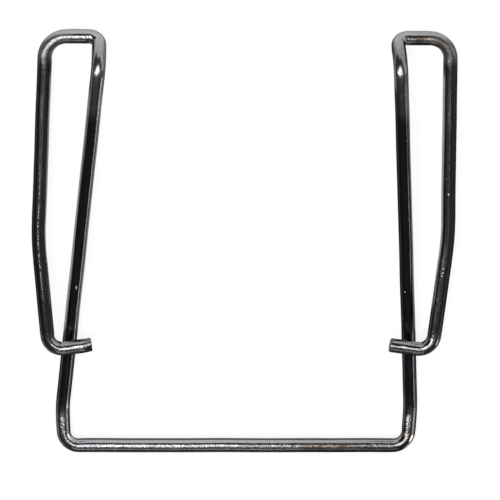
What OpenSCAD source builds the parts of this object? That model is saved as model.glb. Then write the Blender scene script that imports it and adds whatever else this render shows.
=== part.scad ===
// Bent wire form: one round spring wire, a wide U whose two legs each turn over into a sprung return arm
// Lies on the XY plane, base bar towards -Y, loops towards +Y, mirrored about X = 0

/* [Wire] */
// Diameter of the round wire
wire_d = 2; // [1.2:0.1:2.6]
// Edge break round each cut end
tip_break = 0.15; // [0.05:0.05:0.3]
// How far the wire's radius draws down where it is bent
bend_draw = 0.01; // [0.005:0.005:0.03]

/* [Base] */
// Distance between the two legs at the base bar, centre to centre
base_span = 48.6; // [40:0.1:70]
// Length of the short stub from the base bar up to the set in the leg
stub_len = 5.6; // [4.5:0.1:9]
// Outward splay of each stub over its length
stub_splay = 0.3; // [0:0.1:1]
// Height of the base bar above the set in the legs
base_lift = 0.85; // [0:0.05:1.5]

/* [Legs] */
// Length of each leg from its set to its turn-over
leg_len = 52.4; // [40:0.1:80]
// Inward lean of each leg over its length
leg_lean = 3.8; // [0:0.1:6]

/* [Loops] */
// Drop of each turn-over from the top of the leg to the cross-piece
turn_drop = 4.2; // [3.6:0.1:6]
// Run of each turn-over beyond the top of the leg
turn_run = 2.6; // [2.2:0.1:5]
// Width of each loop at the cross-piece, centre to centre
loop_w = 7.4; // [6.8:0.1:12]
// Length of the upper half of the return arm, cross-piece to waist
upper_arm = 29.1; // [20:0.1:32]
// Width of each loop at the waist of the return arm, centre to centre
waist_w = 5.85; // [4:0.05:9]

/* [Hooks] */
// Length of the lower half of the return arm, waist to hook
lower_arm = 15.9; // [12:0.1:19]
// Width of each loop at the hook, centre to centre
hook_w = 3; // [2:0.1:5]
// Length of each hook, from the return arm to its cut end
hook_len = 6; // [5:0.1:9]
// Rise of each hook towards its cut end
hook_rise = 0.9; // [0:0.1:2]
// Free gap between each hook and the leg that it crosses
hook_gap = 1; // [0.4:0.1:3]

/* [Inside bend radii] */
// Base bar into each stub
base_bend = 1.2; // [0.6:0.1:2]
// Set between stub and leg
set_bend = 10; // [4:0.5:16]
// Leg over into the turn-over
turn_bend = 2; // [1:0.1:4]
// Turn-over out into the cross-piece
side_bend = 0.4; // [0.2:0.1:0.6]
// Cross-piece down into the return arm
loop_bend = 2; // [0.5:0.1:2.2]
// Waist of the return arm
waist_bend = 40; // [10:1:50]
// Return arm into each hook
hook_bend = 1.1; // [0.4:0.1:1.6]

/* [Hidden] */
$fn = 48;

wire_r = wire_d / 2;
form_len = stub_len + leg_len + turn_run;
// How far each straight run reaches over the end of the drawn-down bend next to it
run_on = 0.05;

// The leg's centre line at a distance along the form, measured from the base bar
function leg_share(along) = (along - stub_len) / leg_len;
function leg_x(along) = base_span / 2 + stub_splay - leg_lean * leg_share(along);
function leg_z(along) = wire_r + turn_drop * leg_share(along);

waist_along = form_len - upper_arm;
hook_along = waist_along - lower_arm;
hook_z = leg_z(hook_along + hook_rise / 2) + wire_d + hook_gap;
waist_z = wire_r + (hook_z - wire_r) * upper_arm / (upper_arm + lower_arm);

// Corners of one half of the wire, from the middle of the base bar to the cut end of the hook
corners = [for (c = [
    [0, 0, wire_r + base_lift],
    [base_span / 2, 0, wire_r + base_lift],
    [base_span / 2 + stub_splay, stub_len, wire_r],
    [leg_x(stub_len + leg_len), stub_len + leg_len, wire_r + turn_drop],
    [leg_x(form_len), form_len, wire_r],
    [leg_x(form_len) + loop_w, form_len, wire_r],
    [leg_x(waist_along) + waist_w, waist_along, waist_z],
    [leg_x(hook_along) + hook_w, hook_along, hook_z],
    [leg_x(hook_along) + hook_w - hook_len, hook_along + hook_rise, hook_z],
]) c - [0, form_len / 2, 0]];

inside_radii = [base_bend, set_bend, turn_bend, side_bend, loop_bend, waist_bend, hook_bend];
last = len(corners) - 1;

// Direction of the run that starts at corner i, and the angle that the wire turns through at corner i
function unit(v) = v / norm(v);
function run_dir(i) = unit(corners[i + 1] - corners[i]);
function turn_angle(i) = acos(run_dir(i - 1) * run_dir(i));

// Centre-line radius of the bend at corner i, and how far the bend reaches along each run
function bend_r(i) = inside_radii[i - 1] + wire_r;
function setback(i) = i == 0 || i == last ? 0 : bend_r(i) * tan(turn_angle(i) / 2);

// Places its children with their own x and z axes along two given directions at a right angle
module place(origin, x_dir, z_dir) {
    y_dir = cross(z_dir, x_dir);
    multmatrix([
        [x_dir.x, y_dir.x, z_dir.x, origin.x],
        [x_dir.y, y_dir.y, z_dir.y, origin.y],
        [x_dir.z, y_dir.z, z_dir.z, origin.z],
    ]) children();
}

// A direction at a right angle to d
function side_of(d) = unit(cross(d, abs(d.x) < 0.9 ? [1, 0, 0] : [0, 1, 0]));

// Straight run of wire from corner i to the next, clear of the bends at its ends
module run(i) {
    cut = i + 1 == last ? tip_break : 0;
    start = corners[i] + run_dir(i) * (setback(i) - run_on);
    straight = norm(corners[i + 1] - corners[i]) - setback(i) - setback(i + 1);
    length = straight + run_on + (cut > 0 ? -cut : run_on);
    place(start, side_of(run_dir(i)), run_dir(i)) {
        cylinder(r = wire_r, h = length);
        if (cut > 0)
            translate([0, 0, length]) cylinder(r1 = wire_r, r2 = wire_r - cut, h = cut);
    }
}

// Round bend of wire at corner i
module bend(i) {
    into = run_dir(i - 1);
    outward = unit(into * cos(turn_angle(i)) - run_dir(i));
    centre = corners[i] - into * setback(i) - outward * bend_r(i);
    place(centre, outward, cross(outward, into))
        rotate_extrude(angle = turn_angle(i)) translate([bend_r(i), 0]) circle(wire_r - bend_draw);
}

module base_bar() {
    half = base_span / 2 - setback(1) + run_on;
    place(corners[0] - [half, 0, 0], [0, 0, 1], [1, 0, 0]) cylinder(r = wire_r, h = 2 * half);
}

module half_form() {
    for (i = [1:last - 1]) {
        run(i);
        bend(i);
    }
}

module wire_form() {
    color("#3b3c40") {
        base_bar();
        half_form();
        mirror([1, 0, 0]) half_form();
    }
}

wire_form();
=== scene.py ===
# Bent wire form: one drawn spring-steel wire, lying on a white table under soft panels
import math
from collections import namedtuple

import bpy
from mathutils import Matrix, Vector, noise


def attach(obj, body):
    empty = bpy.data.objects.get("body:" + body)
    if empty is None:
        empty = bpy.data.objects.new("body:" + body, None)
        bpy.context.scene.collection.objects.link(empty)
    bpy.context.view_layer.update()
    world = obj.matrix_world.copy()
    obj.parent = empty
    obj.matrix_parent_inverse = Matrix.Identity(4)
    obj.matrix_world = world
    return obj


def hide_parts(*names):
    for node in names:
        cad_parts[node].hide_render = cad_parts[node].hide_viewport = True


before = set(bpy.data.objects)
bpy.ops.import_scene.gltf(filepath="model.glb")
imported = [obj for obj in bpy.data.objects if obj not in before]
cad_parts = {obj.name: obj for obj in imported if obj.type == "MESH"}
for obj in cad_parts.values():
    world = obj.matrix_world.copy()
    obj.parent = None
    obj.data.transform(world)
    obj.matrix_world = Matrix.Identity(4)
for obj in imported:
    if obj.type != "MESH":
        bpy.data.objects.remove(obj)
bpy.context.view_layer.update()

MM = 0.001

# Wire form, in millimetres, with the same names and values as the solid
WIRE_R = 1.0
TIP_BREAK = 0.15
BASE_SPAN = 48.6
STUB_LEN = 5.6
STUB_SPLAY = 0.3
BASE_LIFT = 0.85
LEG_LEN = 52.4
LEG_LEAN = 3.8
TURN_DROP = 4.2
TURN_RUN = 2.6
LOOP_W = 7.4
UPPER_ARM = 29.1
WAIST_W = 5.85
LOWER_ARM = 15.9
HOOK_W = 3.0
HOOK_LEN = 6.0
HOOK_RISE = 0.9
HOOK_GAP = 1.0

# Inside radii of the bends, from the base bar to the hook
INSIDE_RADII = (1.2, 10.0, 2.0, 0.4, 2.0, 40.0, 1.1)

# How the wire is divided, in millimetres, degrees and sides
RUN_STEP = 0.45
BEND_STEP = 3.5
SIDES = 44

# What bending does to the wire, in millimetres
BEND_FADE = 0.9
TIGHT_BEND = 3.2
BEND_OVAL = 0.018
PIN_FLAT = 0.035
PIN_FLAT_LEN = 1.3

# What the straightening rolls leave in the wire, in millimetres
STRAIGHTENER_SWAY = 0.012
STRAIGHTENER_PITCH = 17.0

# Waves of that sway in each of two directions across the wire: strength, waves to a pitch, and phase
SWAY_WAVES = (
    ((1.0, 1.0, 0.0), (0.6, 1.7, 0.9)),
    ((1.0, 1.3, 2.1), (0.5, 2.3, 0.0)),
)

# Cut ends, in millimetres: where the skin stops, the slope of the face for each millimetre across it,
# how deep its torn part is, how deep it all lies, and how far up it the torn part reaches
SKIN_STOP = 1.4 * TIP_BREAK
SHEAR_SLOPE = 0.05
SHEAR_TEAR = 0.035
FACE_SINK = 0.02
TORN_UP_TO = 0.1

# Share of the tearing that the sheared part of a cut end shows
SHEARED_SHARE = 0.25

# Rings of a cut end: degrees round its broken edge, then shares of the face's radius
EDGE_RINGS = (0, 22, 45, 67, 90)
FACE_RINGS = (0.97, 0.85, 0.7, 0.52, 0.34, 0.16)

# Pattern of the tearing: how fine it is for each millimetre, then how its layers of noise add up
TEAR_FINENESS = 3.1
TEAR_LAYERS = (1.0, 2.0, 3)

# Pinch that the cutter left at the left cut end, in millimetres, and the way that it faces
PINCH_DEPTH = 0.26
PINCH_LEN = 1.3
PINCH_FACING = (0.0, -0.34, 0.94)

# Each pair in the next six groups gives where a mark starts and where it is full

# Towards the loops or towards the base bar from the middle of the form, in millimetres
WORN_LOOPS = (26.6, 30.2)
WORN_BASE = (23.5, 27.5)
PAINTED_STUB_REACH = (24.0, 25.6)
SHADED_BAR_REACH = (20.0, 27.0)

# Along the wire from its nearer cut end, in millimetres
WORN_HOOKS = (8.5, 5.0)

# From the top of each leg, the outer corner of each loop and the middle of each stub, in millimetres
SMOOTH_TURN = (6.5, 4.0)
DULL_CORNER = (4.2, 2.4)
COARSE_STUB = (5.0, 2.6)

# Along the wire from its middle, in shares of its length
LEG_BEGINS = (0.125, 0.150)
LEG_ENDS = (0.285, 0.270)
ARM_BEGINS = (0.325, 0.345)
ARM_ENDS = (0.475, 0.455)

# Tilt of the sides, from 0 to 1, towards +Y, into a loop and towards +X for those that get a painted sheen, a
# painted reflection of the bright table and panels
SHEEN_TILT = (0.50, 0.80)
LOOP_SHEEN_TILT = (0.70, 0.95)
STUB_SHEEN_TILT = (0.30, 0.50)

# The same towards -Y, out of a loop, towards +X and up for the sides painted dark, a painted shade for the
# shadowed table that they would reflect
SHADE_TILT = (0.40, 0.75)
OUTER_SHADE_TILT = (0.42, 0.66)
STUB_SHADE_TILT = (0.62, 0.80)
UNDERSIDE_SHADE_TILT = (0.40, 0.16)

# How strong the painted sheen is on the handled parts and on the sides in the loops, how much weaker it is on
# the hooks, how coarse the stubs and hooks are against the smooth turn-over, and how far down its leg the
# smoothest place lies
HANDLED_SHEEN = 0.62
LOOP_SHEEN = 0.8
HOOK_SHEEN_LOSS = 0.45
COARSE_SHARE = 0.5
LEG_TOP = 0.045

# Brown temper stain: middle and reach, as shares of the wire's length from the left cut end, and strength
TEMPER_STAIN = (
    (0.055, 0.045, 0.8),
    (0.565, 0.060, 1.0),
    (0.808, 0.028, 1.25),
    (0.950, 0.045, 0.6),
)

# Nicks in the wire, and one painted glint line along the left arm: share of its length from the left cut end,
# degrees round from the top towards +X, then width and length in millimetres
NICKS = (
    (0.3305, 5.0, 0.30, 0.75),
    (0.6674, -24.0, 0.24, 0.35),
    (0.9008, -6.0, 0.22, 0.28),
    (0.9388, -14.0, 0.18, 0.22),
    (0.9409, -12.0, 0.18, 0.22),
    (0.9425, -14.0, 0.20, 0.25),
)
GLINT_LINE = (0.0760, -8.0, 0.16, 30.0)

# Marks on the wire, of its making and use and of painted sheen and painted shade, where 0 is none and 1 is
# plain to see
MARKS = ("bend", "rub", "cut", "worn", "stain", "smooth", "dull", "polish", "black")

# Tints of the steel, from its dark skin to bare metal, among them the tints of the painted shade and the
# painted sheen, and its tint at a grazing angle
SPECKLE = (0.028, 0.028, 0.031, 1)
PAINTED_SHADE_TINT = (0.032, 0.032, 0.035, 1)
BLUE_OXIDE = (0.055, 0.057, 0.063, 1)
BROWN_OXIDE = (0.061, 0.058, 0.053, 1)
TEMPER_BROWN = (0.064, 0.049, 0.037, 1)
PIT = (0.06, 0.055, 0.05, 1)
DIE_LINE = (0.070, 0.070, 0.074, 1)
WORN_STEEL = (0.182, 0.184, 0.189, 1)
PRESSED_STEEL = (0.23, 0.23, 0.24, 1)
BURNISH_AND_SHEEN_STEEL = (0.25, 0.252, 0.258, 1)
SHEARED_STEEL = (0.29, 0.29, 0.30, 1)
GLINT_STEEL = (0.36, 0.36, 0.37, 1)
NICKED_STEEL = (0.5, 0.5, 0.51, 1)
PAINTED_SHEEN_STEEL = (0.53, 0.535, 0.545, 1)
GRAZING_TINT = (0.30, 0.30, 0.31, 1)

# Depth of the relief in the skin, in millimetres
SKIN_RELIEF = 0.01

# White table: its size in metres, its card, the plain background, and how far that shows
TABLE_SIZE = 6.0
WHITE_CARD = (0.86, 0.86, 0.86, 1)
PLAIN_WHITE = (1, 1, 1, 1)
PLAIN_SHARE = 0.8

# Panels that face straight down from one height: middle in X and Y, width and depth in metres, and radiance
PANEL_HEIGHT = 1.1
HIGH_PANELS = {
    "overhead_panel": (-0.1835, 0.3275, 0.533, 0.555, 9.5),
    "bar_strip": (0.0415, -0.06, 0.083, 0.22, 9.5),
    "stub_panel": (-1.09, -0.02, 1.62, 0.22, 10.5),
    "turn_panel": (-0.70, 0.26, 0.50, 0.34, 8.0),
    "side_panel": (0.295, 0.18, 0.15, 0.46, 9.5),
    "shoulder": (0.1515, 0.27, 0.137, 0.67, 0.4),
    "near_grade": (0.08, -0.2325, 0.08, 0.225, 0.7),
    "arm_strip": (-0.13, -0.265, 0.14, 0.27, 0.09),
    "arm_glow": (0.0, -0.30, 3.2, 0.32, 0.22),
}

# Panels that stand round the wire: place, what they face, width and height in metres, and radiance
STANDING_PANELS = {
    "leg_edge": ((0.961, -0.578, 0.332), (0.0, 0.0, 0.0), 0.285, 0.34, 5.0),
    "stub_shade": ((1.0705, -0.253, 0.40), (0.0, 0.0, 0.0), 0.40, 0.30, 0.62),
    "corner_edge": ((1.05, 0.6, 0.55), (0.0, 0.0, 0.55), 1.5, 0.9, 2.0),
    "low_panel": ((0.0, 1.3, 0.36), (0.0, 0.0, 0.36), 1.2, 0.72, 1.1),
    "far_panel": ((0.1, -1.3, 1.3), (0.1, 0.0, 1.3), 0.8, 1.1, 1.1),
}

# Light of the room itself
ROOM_TINT = (0.9, 0.95, 1, 1)
ROOM_LIGHT = 0.14

# The photograph's view: tilt from straight down, turn to the side and roll, in degrees
VIEW_TILT = 21.0
VIEW_TURN = 4.45
VIEW_ROLL = 0.14

# The same view's distance, width, pivot and shift, and the camera's sensor, in millimetres
VIEW_DISTANCE = 839.2
VIEW_WIDTH = 69.93
VIEW_PIVOT_Y = -2.33
VIEW_RIGHT = 1.246
VIEW_UP = 0.804
SENSOR_MM = 36.0

Spot = namedtuple("Spot", "point tangent inward tight", defaults=(None, 0.0))
Station = namedtuple("Station", "point tangent along share from_end inward bend")


# Centre line


def leg_share(along):
    return (along - STUB_LEN) / LEG_LEN


def leg_x(along):
    return BASE_SPAN / 2 + STUB_SPLAY - LEG_LEAN * leg_share(along)


def leg_z(along):
    return WIRE_R + TURN_DROP * leg_share(along)


def half_corners():
    """Corners of the centre line of the right half, from the base bar's corner to the cut end of the hook."""
    form_len = STUB_LEN + LEG_LEN + TURN_RUN
    waist = form_len - UPPER_ARM
    hook = waist - LOWER_ARM
    hook_z = leg_z(hook + HOOK_RISE / 2) + 2 * WIRE_R + HOOK_GAP
    waist_z = WIRE_R + (hook_z - WIRE_R) * UPPER_ARM / (UPPER_ARM + LOWER_ARM)
    leg_end = STUB_LEN + LEG_LEN
    corners = (
        (BASE_SPAN / 2, 0, WIRE_R + BASE_LIFT),
        (BASE_SPAN / 2 + STUB_SPLAY, STUB_LEN, WIRE_R),
        (leg_x(leg_end), leg_end, WIRE_R + TURN_DROP),
        (leg_x(form_len), form_len, WIRE_R),
        (leg_x(form_len) + LOOP_W, form_len, WIRE_R),
        (leg_x(waist) + WAIST_W, waist, waist_z),
        (leg_x(hook) + HOOK_W, hook, hook_z),
        (leg_x(hook) + HOOK_W - HOOK_LEN, hook + HOOK_RISE, hook_z),
    )
    return [Vector(c) - Vector((0, form_len / 2, 0)) for c in corners]


def wire_corners():
    """Corners of the whole wire, from the left cut end to the right one, and the inside radius at each."""
    right = half_corners()
    left = [Vector((-c.x, c.y, c.z)) for c in reversed(right)]
    radii = [None, *reversed(INSIDE_RADII), *INSIDE_RADII, None]
    return left + right, radii


def run_spots(start, end):
    """Spots along a straight run, after its start."""
    run = end - start
    count = max(2, math.ceil(run.length / RUN_STEP))
    tangent = run.normalized()
    return [Spot(start + run * i / count, tangent) for i in range(1, count + 1)]


def bend_spots(corner, before, after, radius):
    """Spots round one bend, each with the way to the bend's centre and how tight the bend is, from 0 to 1."""
    turn = before.angle(after)
    setback = radius * math.tan(turn / 2)
    inward = (after - before * math.cos(turn)).normalized()
    centre = corner - before * setback + inward * radius
    count = max(math.ceil(math.degrees(turn) / BEND_STEP), math.ceil(turn * radius / RUN_STEP))
    tight = min(1.0, TIGHT_BEND / radius)
    spots = []
    for i in range(count + 1):
        angle = turn * i / count
        to_centre = inward * math.cos(angle) - before * math.sin(angle)
        tangent = before * math.cos(angle) + inward * math.sin(angle)
        spots.append(Spot(centre - to_centre * radius, tangent, to_centre, tight))
    return spots


def centre_line():
    """Stations along the wire: where each lies, the way to its bend's centre, and how bent the wire is."""
    corners, radii = wire_corners()
    path = [Spot(corners[0], (corners[1] - corners[0]).normalized())]
    for i in range(1, len(corners) - 1):
        before = (corners[i] - corners[i - 1]).normalized()
        after = (corners[i + 1] - corners[i]).normalized()
        bend = bend_spots(corners[i], before, after, radii[i] + WIRE_R)
        path += run_spots(path[-1].point, bend[0].point)[:-1] + bend
    path += run_spots(path[-1].point, corners[-1])

    along = [0.0]
    for a, b in zip(path, path[1:]):
        along.append(along[-1] + (b.point - a.point).length)
    length = along[-1]
    bent = [(s, spot.tight) for s, spot in zip(along, path) if spot.inward]
    stations = []
    for s, spot in zip(along, path):
        bend = max(tight * max(0.0, 1 - abs(s - b) / BEND_FADE) for b, tight in bent)
        from_end = min(s, length - s)
        stations.append(Station(spot.point, spot.tangent, s, s / length, from_end, spot.inward, bend))
    return stations


def ring_axes(stations):
    """Two directions across the wire at each station, carried along it without twist."""
    across = stations[0].tangent.orthogonal().normalized()
    axes = []
    for station in stations:
        across = (across - station.tangent * across.dot(station.tangent)).normalized()
        axes.append((across, station.tangent.cross(across)))
    return axes


def bend_middles(stations):
    """How far along the wire the middle of each bend lies."""
    middles, group = [], []
    for station in stations:
        if station.inward:
            group.append(station.along)
        elif group:
            middles.append((group[0] + group[-1]) / 2)
            group = []
    return middles


# Marks of making and use


def fade(value, start, end):
    """0 at the start and 1 at the end, smooth between them."""
    share = min(1.0, max(0.0, (value - start) / (end - start)))
    return share * share * (3 - 2 * share)


def sway(station, axes):
    """Slight waviness that the straightening rolls leave, taken out again where the wire is bent."""
    turn = 2 * math.pi * station.along / STRAIGHTENER_PITCH
    off = Vector()
    for axis, waves in zip(axes, SWAY_WAVES):
        off += axis * sum(strength * math.sin(pace * turn + phase) for strength, pace, phase in waves)
    return off * STRAIGHTENER_SWAY * (1 - station.bend)


def pin_press(station, middles):
    """How hard the bending pin pressed on the inside of the bend here, from 0 to 1."""
    if not station.inward:
        return 0.0
    off = min(abs(station.along - m) for m in middles)
    return station.bend * math.exp(-((off / PIN_FLAT_LEN) ** 2))


def pinch(out, along):
    """How far the cutter pressed the wire in near the left cut end, most on the side that the pinch faces."""
    return PINCH_DEPTH * fade(along, PINCH_LEN, 0.0) * max(0.0, out.dot(Vector(PINCH_FACING))) ** 2


def on_hook(station):
    """1 on the hooks, near the cut ends, and 0 elsewhere."""
    return fade(station.from_end, *WORN_HOOKS)


def handling(station):
    """How far handling has worn the wire here: 1 on the base bar, the loops and the hooks."""
    y = station.point.y
    return max(fade(y, *WORN_LOOPS), fade(-y, *WORN_BASE), on_hook(station))


def temper_stain(station):
    """Strength of the brown stain here, full over the middle third of each stained stretch."""
    return max(
        strength * fade(abs(station.share - middle), reach, reach / 3)
        for middle, reach, strength in TEMPER_STAIN
    )


def on_right(point):
    """The same place on the right half of the wire."""
    return Vector((abs(point.x), point.y, point.z))


def smoothness_and_highlight(station, corners):
    """How smooth the skin is here: 1 on the stretched turn-over, below 0 on the coarse stubs and hooks. The
    same mark paints the turn-over lighter, a painted highlight.
    """
    here = on_right(station.point)
    base_corner, set_corner, leg_end = corners[:3]
    stub_middle = (base_corner + set_corner) / 2
    leg_top = leg_end.lerp(set_corner, LEG_TOP)
    coarse = max(fade((here - stub_middle).length, *COARSE_STUB), on_hook(station))
    return fade((here - leg_top).length, *SMOOTH_TURN) - COARSE_SHARE * coarse


def dullness(station, corners):
    """How dull the skin is here: 1 at the outer corner of each loop."""
    loop_corner = corners[4]
    return fade((on_right(station.point) - loop_corner).length, *DULL_CORNER)


def loop_sides(out, station):
    """How far a side faces the way that gets a painted sheen beside a loop, and the way that gets painted
    shade.

    Legs and arms get the painted sheen on the side in their loop and painted shade on the other. The left leg
    gets the sheen on both.
    """
    from_middle = abs(station.share - 0.5)
    on_leg = fade(from_middle, *LEG_BEGINS) * fade(from_middle, *LEG_ENDS)
    on_arm = fade(from_middle, *ARM_BEGINS) * fade(from_middle, *ARM_ENDS)
    into_loop = out.x * math.copysign(1.0, station.point.x) * (on_leg - on_arm)
    if station.point.x < 0 and on_leg > 0:
        return abs(into_loop), 0.0
    return into_loop, -into_loop


def side_sheen_and_shade(out, station):
    """How far the side of the wire that faces out gets painted sheen, and how far it gets painted shade, each
    from 0 to 1.
    """
    sheen_facing, shade_facing = loop_sides(out, station)
    towards_base = -station.point.y
    on_stub = fade(towards_base, *PAINTED_STUB_REACH)
    stub_shade = on_stub * fade(out.x, *STUB_SHADE_TILT)
    stub_sheen = on_stub * fade(out.x, *STUB_SHEEN_TILT) - stub_shade
    bar_underside_shade = fade(towards_base, *SHADED_BAR_REACH) * fade(out.z, *UNDERSIDE_SHADE_TILT)
    handled_sheen = HANDLED_SHEEN * handling(station) * (1 - HOOK_SHEEN_LOSS * on_hook(station))
    polish = max(
        handled_sheen * fade(out.y, *SHEEN_TILT),
        LOOP_SHEEN * fade(sheen_facing, *LOOP_SHEEN_TILT),
        stub_sheen,
    )
    black = max(fade(-out.y, *SHADE_TILT), fade(shade_facing, *OUTER_SHADE_TILT), bar_underside_shade, stub_shade)
    return polish * (1 - bar_underside_shade), black


def mark_place(stations, axes, share, round_from_top):
    """Place on the wire, in its own coordinates, at a share of its length and an angle round from the top."""
    length = stations[-1].along
    _, (u, w) = min(zip(stations, axes), key=lambda pair: abs(pair[0].along - share * length))
    angle = math.radians(round_from_top)
    facing = Vector((math.sin(angle), 0, math.cos(angle)))
    turn = math.atan2(facing.dot(w), facing.dot(u))
    return Vector((math.cos(turn) * WIRE_R, math.sin(turn) * WIRE_R, share * length)) * MM


# Wire mesh


class WireMesh:
    """Vertices and faces of the wire, with its own coordinates and the marks of its making on each vertex."""

    def __init__(self):
        self.points, self.faces = [], []
        self.place = []
        self.marks = {mark: [] for mark in MARKS}

    def vertex(self, point, place, **marks):
        self.points.append(point * MM)
        self.place.append(place * MM)
        for mark, values in self.marks.items():
            values.append(marks.get(mark, 0.0))
        return len(self.points) - 1

    def bridge(self, ring, next_ring):
        for k in range(SIDES):
            n = (k + 1) % SIDES
            self.faces.append((ring[k], ring[n], next_ring[n], next_ring[k]))

    def fan(self, ring, tip):
        for k in range(SIDES):
            self.faces.append((ring[k], ring[(k + 1) % SIDES], tip))

    def to_object(self, name):
        mesh = bpy.data.meshes.new(name)
        mesh.from_pydata(self.points, [], self.faces)
        mesh.polygons.foreach_set("use_smooth", [True] * len(mesh.polygons))
        place = mesh.attributes.new("wire_place", "FLOAT_VECTOR", "POINT")
        place.data.foreach_set("vector", [x for p in self.place for x in p])
        for mark, values in self.marks.items():
            mesh.attributes.new(mark, "FLOAT", "POINT").data.foreach_set("value", values)
        mesh.validate()
        obj = bpy.data.objects.new(name, mesh)
        bpy.context.scene.collection.objects.link(obj)
        return obj


def skin_ring(wire, station, axes, press, marks):
    """One ring of the drawn skin, a little oval where the wire is bent and flat where the pin pressed."""
    u, w = axes
    middle = station.point + sway(station, axes)
    ring = []
    for k in range(SIDES):
        angle = 2 * math.pi * k / SIDES
        out = u * math.cos(angle) + w * math.sin(angle)
        facing = out.dot(station.inward) if station.inward else 0.0
        rub = press * max(0.0, facing) ** 3
        radius = WIRE_R - BEND_OVAL * facing * facing - PIN_FLAT * rub - pinch(out, station.along)
        place = Vector((math.cos(angle) * WIRE_R, math.sin(angle) * WIRE_R, station.along))
        polish, black = side_sheen_and_shade(out, station)
        ring.append(wire.vertex(middle + out * radius, place, rub=rub, polish=polish, black=black, **marks))
    return ring


def cut_end(wire, station, axes, ahead):
    """Rings round the broken edge and over the face of a cut end, and the vertex in its middle."""
    u, w = axes
    middle = station.point + sway(station, axes)
    profile = []
    for degrees in EDGE_RINGS:
        a = math.radians(degrees)
        profile.append((WIRE_R - TIP_BREAK * (1 - math.cos(a)), TIP_BREAK * (math.sin(a) - 1), 0.0))
    for share in FACE_RINGS:
        profile.append(((WIRE_R - TIP_BREAK) * share, 0.0, 1.0))

    rings = []
    for radius, forward, cut in profile:
        ring = []
        for k in range(SIDES):
            angle = 2 * math.pi * k / SIDES
            out = u * math.cos(angle) + w * math.sin(angle)
            pressed = radius * (1 - pinch(out, station.along) / WIRE_R)
            across, up = pressed * math.cos(angle), pressed * math.sin(angle)
            place = Vector((across, up, station.along))
            tear = noise.fractal(place * TEAR_FINENESS, *TEAR_LAYERS)
            torn_share = 1 if up < TORN_UP_TO else SHEARED_SHARE
            relief = SHEAR_SLOPE * up + SHEAR_TEAR * cut * tear * torn_share
            forward_here = forward + min(relief, FACE_SINK) - FACE_SINK
            point = middle + u * across + w * up + ahead * forward_here
            ring.append(wire.vertex(point, place, cut=cut, worn=1.0))
        rings.append(ring)
    tip = wire.vertex(middle - ahead * FACE_SINK, Vector((0, 0, station.along)), cut=1.0, worn=1.0)
    return rings, tip


def make_wire(stations, axes):
    corners = half_corners()
    middles = bend_middles(stations)
    wire = WireMesh()
    rings = []
    for station, across in zip(stations, axes):
        if station.from_end > SKIN_STOP:
            marks = {
                "bend": station.bend,
                "worn": handling(station),
                "stain": temper_stain(station),
                "smooth": smoothness_and_highlight(station, corners),
                "dull": dullness(station, corners),
            }
            rings.append(skin_ring(wire, station, across, pin_press(station, middles), marks))

    start_rings, start_tip = cut_end(wire, stations[0], axes[0], -stations[0].tangent)
    end_rings, end_tip = cut_end(wire, stations[-1], axes[-1], stations[-1].tangent)
    rings = start_rings[::-1] + rings + end_rings
    for ring, next_ring in zip(rings, rings[1:]):
        wire.bridge(ring, next_ring)
    wire.fan(rings[0][::-1], start_tip)
    wire.fan(rings[-1], end_tip)
    return wire.to_object("bent_wire")


# Shader graphs


class Value:
    """A node's output that takes part in Python arithmetic: each operator adds a Math node."""

    def __init__(self, graph, socket):
        self.graph, self.socket = graph, socket

    def _math(self, operation, a, b):
        return self.graph.node("ShaderNodeMath", {"operation": operation}, {0: a, 1: b})

    def __add__(self, other):
        return self._math("ADD", self, other)

    __radd__ = __add__

    def __sub__(self, other):
        return self._math("SUBTRACT", self, other)

    def __rsub__(self, other):
        return self._math("SUBTRACT", other, self)

    def __mul__(self, other):
        return self._math("MULTIPLY", self, other)

    __rmul__ = __mul__


class Graph:
    """Adds nodes to one node tree."""

    def __init__(self, tree):
        self.tree = tree
        tree.nodes.clear()

    def node(self, kind, settings=None, sockets=None, out=0):
        made = self.tree.nodes.new(kind)
        for name, setting in (settings or {}).items():
            setattr(made, name, setting)
        for name, value in (sockets or {}).items():
            if isinstance(value, Value):
                self.tree.links.new(value.socket, made.inputs[name])
            else:
                made.inputs[name].default_value = value
        return Value(self, made.outputs[out]) if made.outputs else made

    def attribute(self, name, out):
        return self.node("ShaderNodeAttribute", {"attribute_name": name}, out=out)

    def stretch(self, vector, factors):
        return self.node("ShaderNodeVectorMath", {"operation": "MULTIPLY"}, {0: vector, 1: factors})

    def grain(self, vector, scale, detail, roughness=0.5):
        sockets = {"Vector": vector, "Scale": scale, "Detail": detail, "Roughness": roughness}
        return self.node("ShaderNodeTexNoise", None, sockets)

    def step(self, value, low, high):
        sockets = {"Value": value, "From Min": low, "From Max": high}
        return self.node("ShaderNodeMapRange", {"interpolation_type": "SMOOTHSTEP"}, sockets)

    def spot(self, vector, centre, width, length):
        """1 in the middle of a long spot and 0 outside it."""
        off = self.node("ShaderNodeVectorMath", {"operation": "SUBTRACT"}, {0: vector, 1: centre})
        scaled = self.stretch(off, (2 / width, 2 / width, 2 / length))
        reach = self.node("ShaderNodeVectorMath", {"operation": "LENGTH"}, {0: scaled}, out="Value")
        return 1 - self.step(reach, low=0.4, high=1.0)

    def blend(self, share, first, second):
        return self.node("ShaderNodeMix", {"data_type": "RGBA"}, {0: share, 6: first, 7: second}, out=2)


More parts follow.
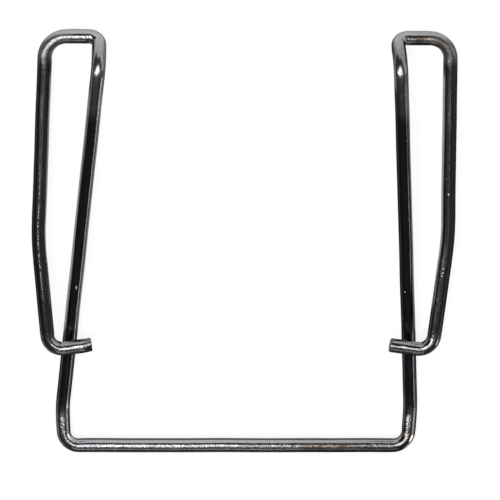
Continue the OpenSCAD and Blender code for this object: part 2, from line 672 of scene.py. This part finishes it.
def drawn_steel(stations, axes):
    """Dark drawn spring steel: die lines, fine pits, oxide tints, nicks and bare cut ends, with painted sheen
    and painted shade on its sides and one painted glint line.
    """
    material = bpy.data.materials.new("drawn_steel")
    material.use_nodes = True
    g = Graph(material.node_tree)
    place = g.attribute("wire_place", "Vector")
    marks = (g.attribute(mark, "Fac") for mark in MARKS)
    bend, rub, cut, worn, stain, smooth, dull, polish, black = marks

    # Grain of the skin, some of it drawn out along the wire
    die_lines = g.grain(g.stretch(place, (1, 1, 0.02)), scale=3200, detail=4, roughness=0.62)
    hairlines = g.grain(g.stretch(place, (1, 1, 0.008)), scale=11000, detail=2)
    ripple = g.grain(g.stretch(place, (1, 1, 0.4)), scale=2400, detail=2)
    peen = g.grain(place, scale=4600, detail=2)
    peel = g.grain(place, scale=2600, detail=3) * bend
    torn = g.grain(g.stretch(place, (1, 0.25, 1)), scale=9000, detail=3) * cut

    # Patches of oxide, specks, pits, stain and wear, and the painted sheen
    oxide = g.step(g.grain(place, scale=170, detail=3), low=0.4, high=0.66)
    specks = g.step(g.grain(place, scale=3900, detail=2, roughness=0.6), low=0.36, high=0.64)
    cells = g.node("ShaderNodeTexVoronoi", None, {"Vector": place, "Scale": 1500})
    pitted = g.step(g.grain(place, scale=420, detail=2), low=0.5, high=0.64)
    pits = (1 - g.step(cells, low=0.06, high=0.2)) * pitted
    cloud = g.grain(g.stretch(place, (1, 1, 0.3)), scale=1100, detail=3)
    stained = stain * g.step(cloud, low=0.25, high=0.6)
    bright = worn * (0.75 + 0.5 * g.grain(place, scale=900, detail=3))
    burnish = bend * g.step(g.grain(place, scale=1900, detail=3), low=0.30, high=0.55)
    shine = polish * (0.65 + 0.5 * g.grain(place, scale=3000, detail=3, roughness=0.6))

    def flaw(share, angle, width, length):
        return g.spot(place, mark_place(stations, axes, share, angle), width * MM, length * MM)

    nicks = sum(flaw(*nick) for nick in NICKS)
    # Painted glint: a broken light line along the left arm, a painted highlight
    skips = g.grain(g.stretch(place, (1, 1, 0.4)), scale=9000, detail=2)
    glint_line = flaw(*GLINT_LINE) * g.step(skips, low=0.42, high=0.58)

    # From the bottom up, how far each finish covers those below it
    finishes = (
        (bright, WORN_STEEL),
        (0.35 * burnish, BURNISH_AND_SHEEN_STEEL),
        # The smooth turn-over is also painted lighter, a painted highlight that widens its bright spot
        (0.6 * smooth, BURNISH_AND_SHEEN_STEEL),
        (0.5 * specks, SPECKLE),
        (0.4 * g.step(die_lines, low=0.42, high=0.66), DIE_LINE),
        (0.9 * stained, TEMPER_BROWN),
        # Painted sheen: lighter steel on the sides that stands for the reflected bright table and panels
        (shine, PAINTED_SHEEN_STEEL),
        (0.6 * pits, PIT),
        # Painted shade: darker steel on the sides that stands for the reflected shadow beside and under the
        # wire
        (0.9 * black, PAINTED_SHADE_TINT),
        (0.6 * rub, PRESSED_STEEL),
        (0.6 * glint_line, GLINT_STEEL),
        (nicks, NICKED_STEEL),
        (cut, SHEARED_STEEL),
    )
    colour = g.blend(oxide, BLUE_OXIDE, BROWN_OXIDE)
    for share, tint in finishes:
        colour = g.blend(share, colour, tint)

    # What each finish adds to the roughness of the bare drawn skin
    roughness = 0.05 + 0.10 * die_lines + 0.04 * specks + 0.08 * smooth + 0.2 * pits + 0.2 * cut
    roughness = roughness + 0.45 * nicks + 0.3 * glint_line + 0.22 * dull

    # Relief of the skin, in shares of its depth: fine unevenness, then what is drawn, torn or cut into it
    uneven = (0.6 + 0.4 * worn) * (1 - 0.8 * smooth) * (1 - 0.6 * polish)
    height = uneven * (2.0 * ripple + 1.2 * peen + 0.5 * peel)
    height = height + 0.4 * die_lines + 0.2 * hairlines - 0.5 * pits + 0.9 * torn - 1.5 * nicks
    relief = {"Strength": 1.0, "Distance": SKIN_RELIEF * MM, "Height": height}
    normal = g.node("ShaderNodeBump", None, relief)

    steel = g.node("ShaderNodeBsdfPrincipled", None, {
        "Base Color": colour,
        "Metallic": 1.0,
        "Roughness": roughness,
        "Specular Tint": GRAZING_TINT,
        "Normal": normal,
    })
    g.node("ShaderNodeOutputMaterial", None, {"Surface": steel})
    return material


def white_table():
    """White card that the lens and the metal see as the plain background, and that still takes the shadow."""
    material = bpy.data.materials.new("white_table")
    material.use_nodes = True
    g = Graph(material.node_tree)
    rays = ("Is Camera Ray", "Is Glossy Ray", "Is Transmission Ray")
    seen = g.step(sum(g.node("ShaderNodeLightPath", out=ray) for ray in rays), low=0.0, high=1.0)
    card = g.node("ShaderNodeBsdfDiffuse", None, {"Color": WHITE_CARD})
    white = g.node("ShaderNodeEmission", None, {"Color": PLAIN_WHITE, "Strength": 1.0})
    surface = g.node("ShaderNodeMixShader", None, {0: PLAIN_SHARE * seen, 1: card, 2: white})
    g.node("ShaderNodeOutputMaterial", None, {"Surface": surface})
    return material


# Table, lamps and camera


def make_table():
    half = TABLE_SIZE / 2
    corners = [(-half, -half, 0), (half, -half, 0), (half, half, 0), (-half, half, 0)]
    mesh = bpy.data.meshes.new("table")
    mesh.from_pydata(corners, [], [(0, 1, 2, 3)])
    mesh.materials.append(white_table())
    table = bpy.data.objects.new("table", mesh)
    bpy.context.scene.collection.objects.link(table)


def soft_panel(name, place, target, width, height, radiance):
    """Flat soft lamp at a place, facing a target. Its height runs along Y, or up where it faces sideways."""
    data = bpy.data.lights.new(name, "AREA")
    data.shape = "RECTANGLE"
    data.size, data.size_y = width, height
    data.energy = radiance * math.pi * width * height
    lamp = bpy.data.objects.new(name, data)
    lamp.location = place
    lamp.rotation_mode = "QUATERNION"
    lamp.rotation_quaternion = (Vector(target) - Vector(place)).to_track_quat("-Z", "Y")
    lamp.visible_camera = False
    bpy.context.scene.collection.objects.link(lamp)


def make_light():
    for name, (x, y, width, depth, radiance) in HIGH_PANELS.items():
        soft_panel(name, (x, y, PANEL_HEIGHT), (x, y, 0.0), width, depth, radiance)
    for name, panel in STANDING_PANELS.items():
        soft_panel(name, *panel)
    world = bpy.data.worlds.new("dark_studio")
    world.use_nodes = True
    g = Graph(world.node_tree)
    room = g.node("ShaderNodeBackground", None, {"Color": ROOM_TINT, "Strength": ROOM_LIGHT})
    g.node("ShaderNodeOutputWorld", None, {"Surface": room})
    bpy.context.scene.world = world


def make_camera():
    tilt, turn = math.radians(VIEW_TILT), math.radians(VIEW_TURN)
    right = Vector((math.cos(turn), math.sin(turn) * math.sin(tilt), math.sin(turn) * math.cos(tilt)))
    up = Vector((0, math.cos(tilt), -math.sin(tilt)))
    back = right.cross(up)
    roll = Matrix.Rotation(math.radians(VIEW_ROLL), 3, back)
    right, up = roll @ right, roll @ up
    aim = Vector((0, VIEW_PIVOT_Y, 0)) + right * VIEW_RIGHT + up * VIEW_UP
    place = (aim + back * VIEW_DISTANCE) * MM
    data = bpy.data.cameras.new("camera")
    data.sensor_width = SENSOR_MM
    data.lens = SENSOR_MM * VIEW_DISTANCE / VIEW_WIDTH
    data.clip_start, data.clip_end = 0.01, 20.0
    camera = bpy.data.objects.new("camera", data)
    camera.matrix_world = Matrix.Translation(place) @ Matrix((right, up, back)).transposed().to_4x4()
    bpy.context.scene.collection.objects.link(camera)
    bpy.context.scene.camera = camera


wire_stations = centre_line()
wire_axes = ring_axes(wire_stations)
bent_wire = make_wire(wire_stations, wire_axes)
bent_wire.data.materials.append(drawn_steel(wire_stations, wire_axes))
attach(bent_wire, "root")
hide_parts("wire_form")

make_table()
make_light()
make_camera()
bpy.context.scene.view_settings.view_transform = "Standard"
